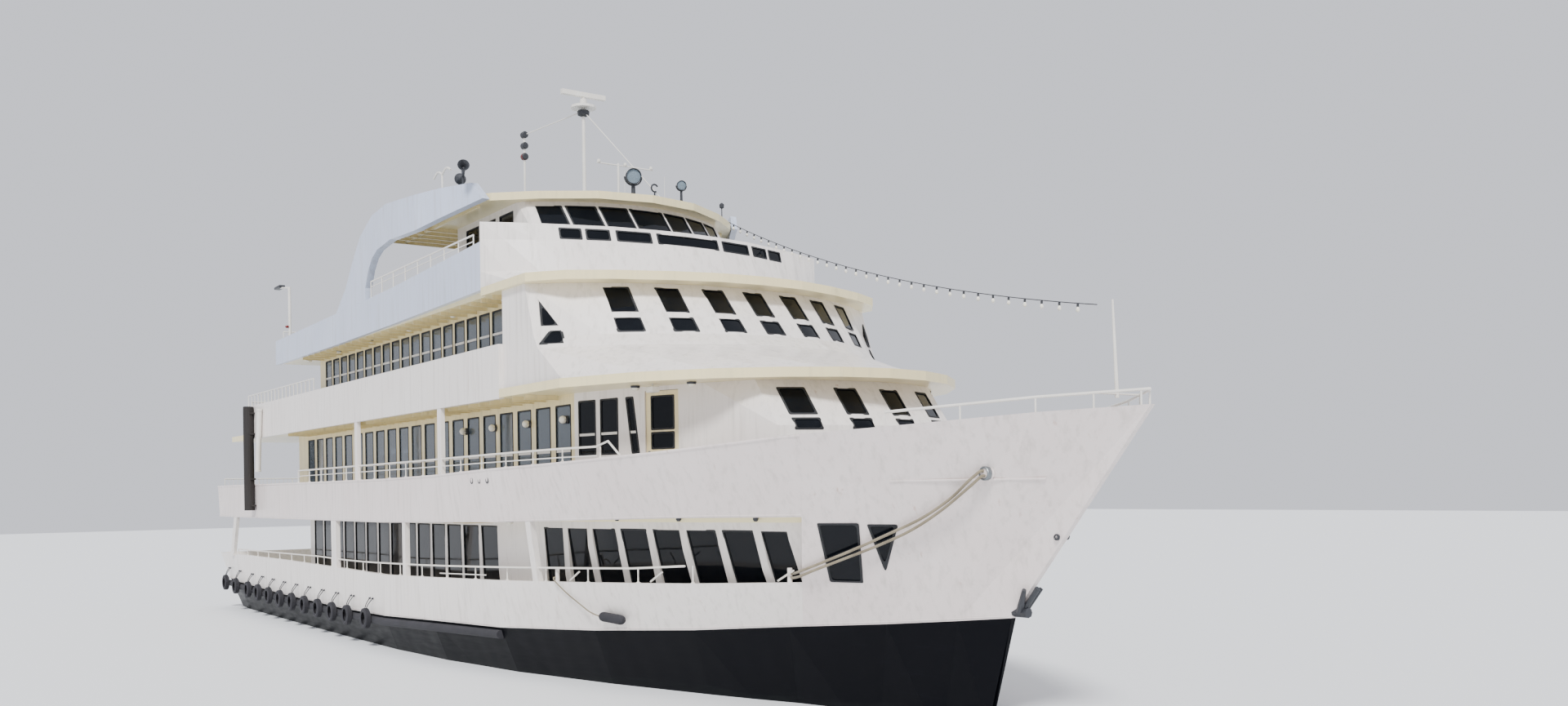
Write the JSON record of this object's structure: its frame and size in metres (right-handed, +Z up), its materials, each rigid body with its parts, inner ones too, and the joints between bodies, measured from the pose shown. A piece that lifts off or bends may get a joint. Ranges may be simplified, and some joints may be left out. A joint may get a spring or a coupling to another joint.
{
  "type": "passenger ferry",
  "caption": "Passenger ferry with a raked bow, open main deck, glazed saloon decks with sloping fronts, pilothouse under swept arches, propellers and rudders.",
  "frame": {"origin": "on the centreline at the waterline, 19.65 m forward of the top of the stern bulwark, where the mount waterline is", "axes": "+X forward to the bow, +Y to port, +Z up, in metres"},
  "size_m": [39.95, 9.6808, 16.3],
  "materials": {
    "hull_navy": "satin marine paint, near-black navy",
    "hull_white": "gloss marine paint, warm white",
    "house_cream": "gloss marine paint, pale cream",
    "deck_grey": "matt anti-slip deck paint",
    "arch_blue": "gloss marine paint, pale blue-grey",
    "black_rubber": "matt weathered rubber",
    "dark_paint": "satin dark paint",
    "propeller_bronze": "polished bronze",
    "scanner_shell": "gloss white moulded shell",
    "rope_fibre": "laid fibre rope"
  },
  "bodies": {
    "ship": {"hull_lower": "hull_navy", "bulwark_transom": "hull_white", "bow": "hull_white", "deck_upper": "deck_grey", "front_upper": "hull_white", "house_main_aft": "hull_white", "house_upper_aft": "house_cream", "house_saloon_aft": "house_cream", "deck_saloon": "house_cream", "front_saloon": "hull_white", "deck_bridge": "house_cream", "front_bridge": "hull_white", "pilothouse": "hull_white", "pilothouse_aft": "hull_white", "roof": "hull_white", "mast": "hull_white", "bow_rail": "hull_white", "anchor": "dark_paint", "mooring_line_a": "rope_fibre", "mooring_line_b": "rope_fibre", "fender": "black_rubber", "fender_rope": "rope_fibre", "bulwark_main_stbd": "hull_white", "side_upper_stbd": "hull_white", "post_main_a_stbd": "hull_white", "post_main_b_stbd": "hull_white", "post_main_c_stbd": "hull_white", "house_main_stbd": "hull_white", "house_upper_stbd": "house_cream", "house_saloon_stbd": "house_cream", "panel_saloon_stbd": "hull_white", "panel_bridge_stbd": "arch_blue", "post_upper_a_stbd": "hull_white", "post_upper_b_stbd": "hull_white", "arch_stbd": "arch_blue", "exhaust_stbd": "dark_paint", "strake_stbd": "black_rubber", "bulwark_main_port": "hull_white", "side_upper_port": "hull_white", "post_main_a_port": "hull_white", "post_main_b_port": "hull_white", "post_main_c_port": "hull_white", "house_main_port": "hull_white", "house_upper_port": "house_cream", "house_saloon_port": "house_cream", "panel_saloon_port": "hull_white", "panel_bridge_port": "arch_blue", "post_upper_a_port": "hull_white", "post_upper_b_port": "hull_white", "arch_port": "arch_blue", "exhaust_port": "dark_paint", "strake_port": "black_rubber"},
    "radar": {"radar_scanner": "scanner_shell"},
    "rudder_stbd": {"rudder_stbd": "hull_navy"},
    "rudder_port": {"rudder_port": "hull_navy"},
    "propeller_stbd": {"propeller_stbd": "propeller_bronze"},
    "propeller_port": {"propeller_port": "propeller_bronze"},
    "door_stbd": {"door_stbd": "house_cream"},
    "door_port": {"door_port": "house_cream"}
  },
  "joints": [
    {"name": "rudder_stbd_turn", "type": "hinge", "parent": "ship", "child": "rudder_stbd", "pos_m": [-17.25, -1.95, -0.64], "axis": [0, 0, 1], "range_deg": [-35, 35]},
    {"name": "propeller_stbd_spin", "type": "hinge", "parent": "ship", "child": "propeller_stbd", "pos_m": [-16.3, -1.95, -1.3], "axis": [1, 0, 0], "continuous": true},
    {"name": "door_stbd_swing", "type": "hinge", "parent": "ship", "child": "door_stbd", "pos_m": [11.40455, -2.70322, 4.7], "axis": [0, 0, -1], "range_deg": [0, 100]},
    {"name": "rudder_port_turn", "type": "hinge", "parent": "ship", "child": "rudder_port", "pos_m": [-17.25, 1.95, -0.64], "axis": [0, 0, 1], "range_deg": [-35, 35]},
    {"name": "propeller_port_spin", "type": "hinge", "parent": "ship", "child": "propeller_port", "pos_m": [-16.3, 1.95, -1.3], "axis": [1, 0, 0], "continuous": true},
    {"name": "door_port_swing", "type": "hinge", "parent": "ship", "child": "door_port", "pos_m": [11.40455, 2.70322, 4.7], "axis": [0, 0, 1], "range_deg": [0, 100]},
    {"name": "radar_spin", "type": "hinge", "parent": "ship", "child": "radar", "pos_m": [2.15, 0, 14.23], "axis": [0, 0, 1], "continuous": true}
  ]
}
